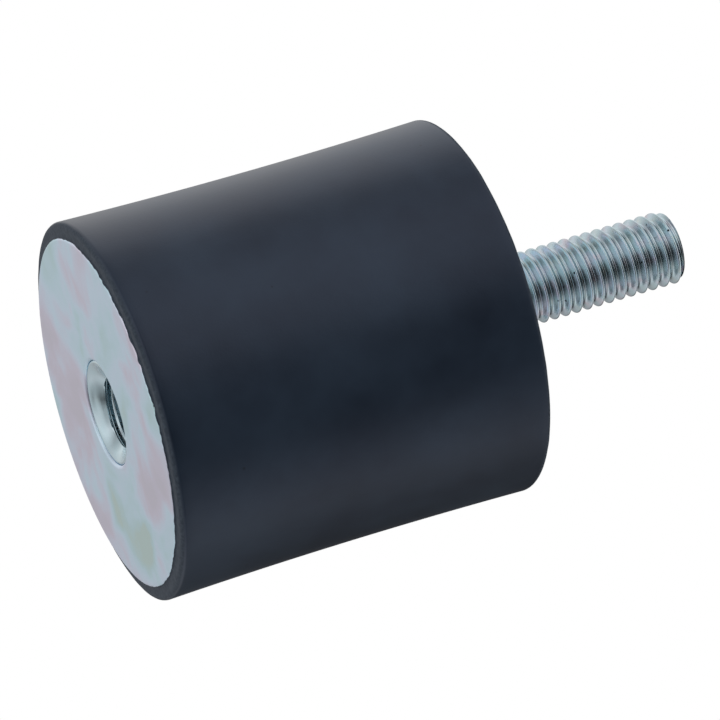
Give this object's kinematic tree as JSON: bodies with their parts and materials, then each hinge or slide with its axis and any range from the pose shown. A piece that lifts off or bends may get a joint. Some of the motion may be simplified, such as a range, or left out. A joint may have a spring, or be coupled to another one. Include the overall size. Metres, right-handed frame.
{
  "type": "rubber buffer",
  "caption": "Cylindrical bonded rubber buffer with a threaded stud on one side and a blind internal thread on the other.",
  "frame": {"origin": "centre of the outer face of the plate with the internal thread, which the buffer stands on", "axes": "+Z along the axis of the buffer, from the plate with the internal thread towards the stud"},
  "size_m": [0.0396, 0.0396, 0.0633],
  "materials": {
    "rubber": "satin black natural rubber",
    "zinc_plate": "satin blue-passivated zinc on steel",
    "zinc_bush": "bright blue-passivated zinc on steel",
    "zinc_stud": "bright blue-passivated zinc on steel"
  },
  "bodies": {
    "root": {"rubber_body": "rubber", "threaded_plate": "zinc_plate", "threaded_bush": "zinc_bush", "stud_plate": "zinc_plate", "threaded_stud": "zinc_stud"}
  },
  "joints": []
}
